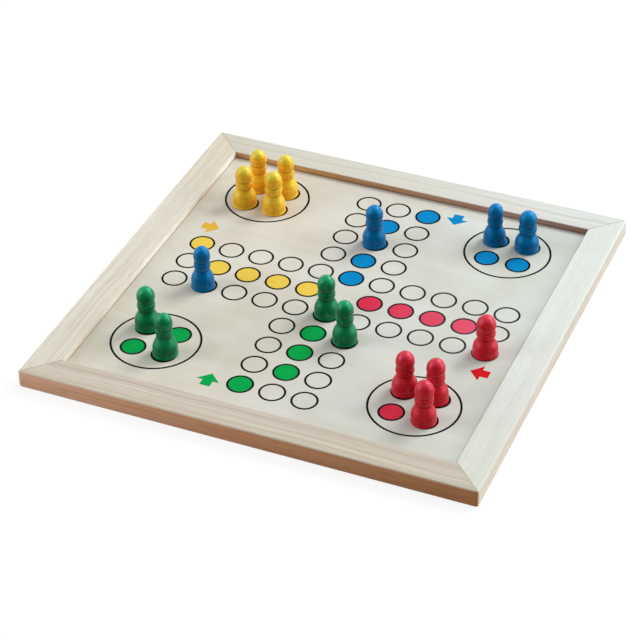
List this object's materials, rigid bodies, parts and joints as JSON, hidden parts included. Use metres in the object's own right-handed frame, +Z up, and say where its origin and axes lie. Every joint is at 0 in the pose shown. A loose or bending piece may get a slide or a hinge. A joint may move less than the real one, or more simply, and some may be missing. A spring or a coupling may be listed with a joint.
{
  "type": "framed wooden board game",
  "caption": "Square wooden game board: thin printed plywood panel recessed in a mitred solid-wood frame, with turned wooden pawns in team colours standing on it.",
  "frame": {"origin": "centre of the board's footprint, on its underside", "axes": "+Z up out of the playing face, +X to the right along the front rail, +Y from the front rail to the back rail"},
  "size_m": [0.3, 0.3, 0.0387],
  "materials": {
    "frame_wood": "pale softwood planed and sanded, clear matt lacquer",
    "plywood": "pale birch-faced plywood, clear matt lacquer",
    "beech": "compressed beech, unfinished, glued in",
    "yellow_stain": "turned wood, yellow stain under satin lacquer",
    "blue_stain": "turned wood, blue stain under satin lacquer",
    "green_stain": "turned wood, green stain under satin lacquer",
    "red_stain": "turned wood, red stain under satin lacquer"
  },
  "bodies": {
    "board": {"front_rail": "frame_wood", "back_rail": "frame_wood", "left_rail": "frame_wood", "right_rail": "frame_wood", "playing_panel": "plywood", "front_left_biscuit": "beech", "front_right_biscuit": "beech", "back_right_biscuit": "beech", "back_left_biscuit": "beech"},
    "yellow_1": {"yellow_pawn_1": "yellow_stain"},
    "yellow_2": {"yellow_pawn_2": "yellow_stain"},
    "yellow_3": {"yellow_pawn_3": "yellow_stain"},
    "yellow_4": {"yellow_pawn_4": "yellow_stain"},
    "blue_1": {"blue_pawn_1": "blue_stain"},
    "blue_2": {"blue_pawn_2": "blue_stain"},
    "blue_3": {"blue_pawn_3": "blue_stain"},
    "blue_4": {"blue_pawn_4": "blue_stain"},
    "green_1": {"green_pawn_1": "green_stain"},
    "green_2": {"green_pawn_2": "green_stain"},
    "green_3": {"green_pawn_3": "green_stain"},
    "green_4": {"green_pawn_4": "green_stain"},
    "red_1": {"red_pawn_1": "red_stain"},
    "red_2": {"red_pawn_2": "red_stain"},
    "red_3": {"red_pawn_3": "red_stain"},
    "red_4": {"red_pawn_4": "red_stain"}
  },
  "joints": [
    {"name": "yellow_1_lift", "type": "slide", "parent": "board", "child": "yellow_1", "axis": [0, 0, 1], "range_m": [0, 0.04]},
    {"name": "yellow_2_lift", "type": "slide", "parent": "board", "child": "yellow_2", "axis": [0, 0, 1], "range_m": [0, 0.04]},
    {"name": "yellow_3_lift", "type": "slide", "parent": "board", "child": "yellow_3", "axis": [0, 0, 1], "range_m": [0, 0.04]},
    {"name": "yellow_4_lift", "type": "slide", "parent": "board", "child": "yellow_4", "axis": [0, 0, 1], "range_m": [0, 0.04]},
    {"name": "blue_1_lift", "type": "slide", "parent": "board", "child": "blue_1", "axis": [0, 0, 1], "range_m": [0, 0.04]},
    {"name": "blue_2_lift", "type": "slide", "parent": "board", "child": "blue_2", "axis": [0, 0, 1], "range_m": [0, 0.04]},
    {"name": "blue_3_lift", "type": "slide", "parent": "board", "child": "blue_3", "axis": [0, 0, 1], "range_m": [0, 0.04]},
    {"name": "blue_4_lift", "type": "slide", "parent": "board", "child": "blue_4", "axis": [0, 0, 1], "range_m": [0, 0.04]},
    {"name": "green_1_lift", "type": "slide", "parent": "board", "child": "green_1", "axis": [0, 0, 1], "range_m": [0, 0.04]},
    {"name": "green_2_lift", "type": "slide", "parent": "board", "child": "green_2", "axis": [0, 0, 1], "range_m": [0, 0.04]},
    {"name": "green_3_lift", "type": "slide", "parent": "board", "child": "green_3", "axis": [0, 0, 1], "range_m": [0, 0.04]},
    {"name": "green_4_lift", "type": "slide", "parent": "board", "child": "green_4", "axis": [0, 0, 1], "range_m": [0, 0.04]},
    {"name": "red_1_lift", "type": "slide", "parent": "board", "child": "red_1", "axis": [0, 0, 1], "range_m": [0, 0.04]},
    {"name": "red_2_lift", "type": "slide", "parent": "board", "child": "red_2", "axis": [0, 0, 1], "range_m": [0, 0.04]},
    {"name": "red_3_lift", "type": "slide", "parent": "board", "child": "red_3", "axis": [0, 0, 1], "range_m": [0, 0.04]},
    {"name": "red_4_lift", "type": "slide", "parent": "board", "child": "red_4", "axis": [0, 0, 1], "range_m": [0, 0.04]}
  ]
}
